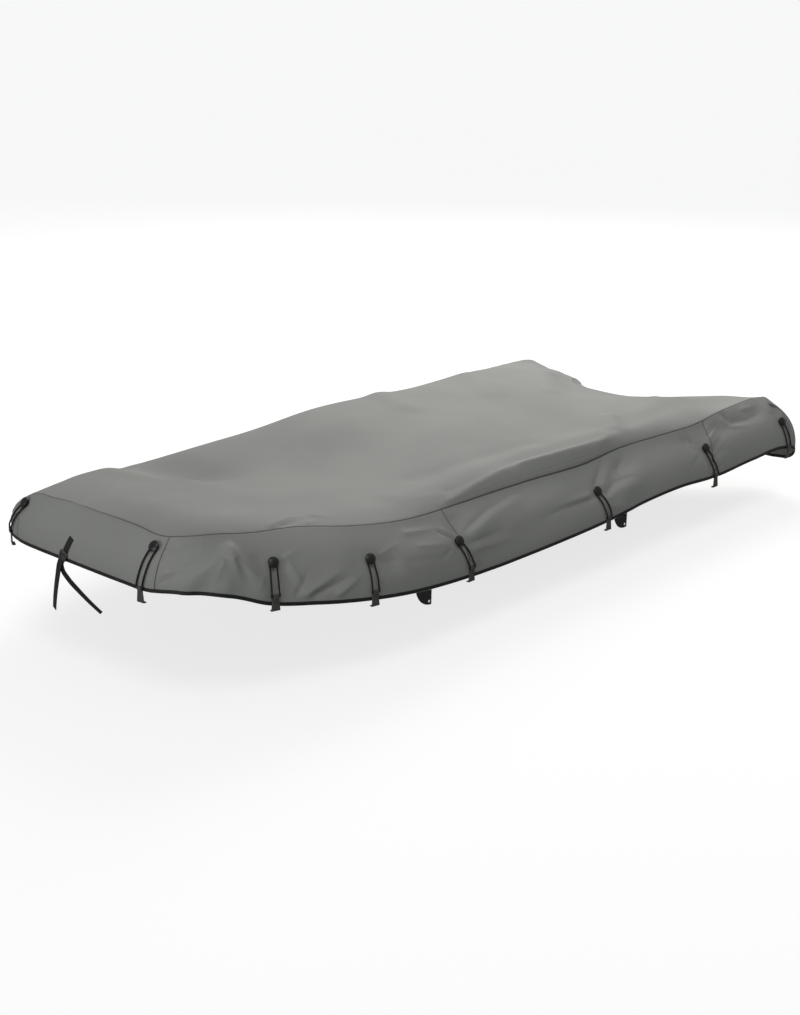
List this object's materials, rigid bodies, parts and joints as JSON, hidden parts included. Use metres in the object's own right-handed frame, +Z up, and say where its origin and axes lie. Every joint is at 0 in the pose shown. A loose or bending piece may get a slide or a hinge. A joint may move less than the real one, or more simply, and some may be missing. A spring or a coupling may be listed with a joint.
{
  "type": "boat cover",
  "caption": "Fitted cloth cover for a small open boat: light grey top sheet and seamed side panels with a bound hem, round knobs, cord loops and flat hooks, and a bow strap.",
  "frame": {"origin": "underside of the middle of the top sheet, where the cover rests on what it covers", "axes": "-X towards the nose (bow end), +X towards the two lobes at the stern, -Y the side nearer the camera, +Z up"},
  "size_m": [3.3259, 1.4958, 0.4622],
  "materials": {
    "coated_cloth": "matt coated polyester, plain weave",
    "black_tape": "woven black tape and webbing, slight sheen",
    "black_cord": "braided black shock cord",
    "black_plastic": "moulded, satin",
    "grey_plastic": "moulded dark grey, satin"
  },
  "bodies": {
    "root": {"bow_panel": "coated_cloth", "cord_loop_far_1": "black_cord", "cord_loop_far_2": "black_cord", "cord_loop_far_3": "black_cord", "cord_loop_far_4": "black_cord", "cord_loop_far_5": "black_cord", "cord_loop_far_6": "black_cord", "cord_loop_far_7": "black_cord", "cord_loop_near_1": "black_cord", "cord_loop_near_2": "black_cord", "cord_loop_near_3": "black_cord", "cord_loop_near_4": "black_cord", "cord_loop_near_5": "black_cord", "cord_loop_near_6": "black_cord", "cord_loop_near_7": "black_cord", "flat_hook_far_1": "grey_plastic", "flat_hook_far_2": "grey_plastic", "flat_hook_far_3": "grey_plastic", "flat_hook_far_4": "grey_plastic", "flat_hook_far_5": "grey_plastic", "flat_hook_far_6": "grey_plastic", "flat_hook_far_7": "grey_plastic", "flat_hook_near_1": "grey_plastic", "flat_hook_near_2": "grey_plastic", "flat_hook_near_3": "grey_plastic", "flat_hook_near_4": "grey_plastic", "flat_hook_near_5": "grey_plastic", "flat_hook_near_6": "grey_plastic", "flat_hook_near_7": "grey_plastic", "hem_binding": "black_tape", "hem_tab_far_1": "black_tape", "hem_tab_far_2": "black_tape", "hem_tab_near_1": "black_tape", "hem_tab_near_2": "black_tape", "knob_far_1": "black_plastic", "knob_far_2": "black_plastic", "knob_far_3": "black_plastic", "knob_far_4": "black_plastic", "knob_far_5": "black_plastic", "knob_far_6": "black_plastic", "knob_far_7": "black_plastic", "knob_near_1": "black_plastic", "knob_near_2": "black_plastic", "knob_near_3": "black_plastic", "knob_near_4": "black_plastic", "knob_near_5": "black_plastic", "knob_near_6": "black_plastic", "knob_near_7": "black_plastic", "side_panel_far_aft": "coated_cloth", "side_panel_far_fore": "coated_cloth", "side_panel_far_mid": "coated_cloth", "side_panel_near_aft": "coated_cloth", "side_panel_near_fore": "coated_cloth", "side_panel_near_mid": "coated_cloth", "stern_panel": "coated_cloth", "strap_buckle": "grey_plastic", "strap_long": "black_tape", "strap_tab": "black_tape", "strap_tail": "black_tape", "top_panel": "coated_cloth"}
  },
  "joints": []
}
